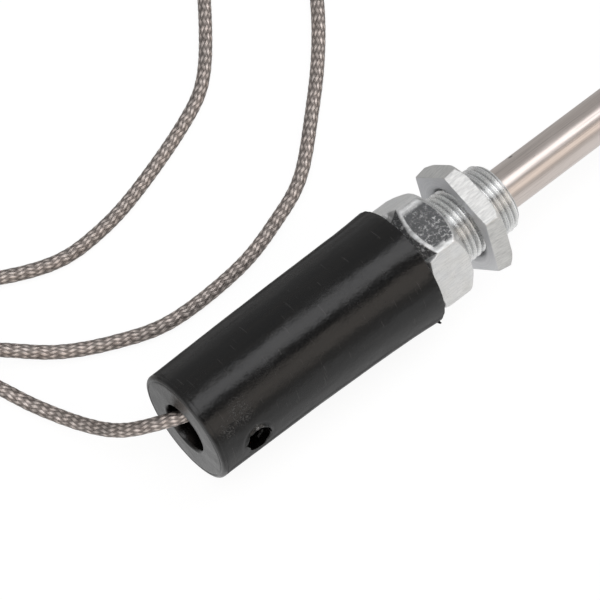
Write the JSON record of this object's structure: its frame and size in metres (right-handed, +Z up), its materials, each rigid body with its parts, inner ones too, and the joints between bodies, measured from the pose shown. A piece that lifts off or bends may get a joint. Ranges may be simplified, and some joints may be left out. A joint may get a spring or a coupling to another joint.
{
  "type": "flame sensor probe",
  "caption": "Slim flame sensor probe: threaded hex gland with lock nut, steel sheath and ceramic-insulated rod, black boot, and a braided lead with a push-on terminal.",
  "frame": {"origin": "under the middle of the probe, on the surface that it lies on (the lead left out)", "axes": "+X along the probe towards the electrode tip, +Z up; the probe lies on its side"},
  "size_m": [0.2547, 0.1777, 0.0286],
  "materials": {
    "boot_black": "satin black moulding with a soft sheen",
    "zinc_steel": "bright zinc plate over turned steel",
    "zinc_nut": "bright zinc plate, draw marks on the flats",
    "stainless": "polished stainless tube",
    "alumina": "fired alumina, fine matt",
    "steatite": "glazed ceramic",
    "copper": "soft copper",
    "electrode_alloy": "heat-resistant alloy rod, oxidised",
    "brass": "turned brass",
    "screw_steel": "steel grub screw",
    "glass_sleeve": "woven glass sleeving",
    "white_insulation": "white fluoropolymer insulation",
    "nickel": "nickel-plated ferrule",
    "steel_braid": "woven stainless wire braid",
    "tie_black": "black plastic tie",
    "shrink_black": "black heat-shrink",
    "tinned_brass": "tinned brass",
    "cover_black": "black soft vinyl"
  },
  "bodies": {
    "probe": {"gland_body": "zinc_steel", "sheath_tube": "stainless", "core_insulator": "alumina", "nose_insulator": "steatite", "rear_insulator": "steatite", "seal_washer": "copper", "retaining_ring": "zinc_steel", "electrode_rod": "electrode_alloy", "terminal_barrel": "brass", "terminal_screws": "screw_steel", "insulating_sleeve": "glass_sleeve", "lead_conductor": "copper", "lead_insulation": "white_insulation", "braid_ferrule": "nickel", "lead_cable": "steel_braid", "lead_coil": "steel_braid", "lead_tail": "steel_braid", "coil_ties": "tie_black", "braid_end_sleeve": "shrink_black", "tail_wire": "white_insulation", "push_on_terminal": "tinned_brass", "terminal_cover": "cover_black"},
    "boot_shell": {"boot": "boot_black"},
    "nut": {"lock_nut": "zinc_nut"}
  },
  "joints": [
    {"name": "nut_travel", "type": "slide", "parent": "probe", "child": "nut", "axis": [1, 0, 0], "range_m": [-0.0054, 0.0068]},
    {"name": "boot_turn", "type": "hinge", "parent": "probe", "child": "boot_shell", "pos_m": [-0.0511, 0, 0.0143], "axis": [1, 0, 0], "continuous": true}
  ]
}
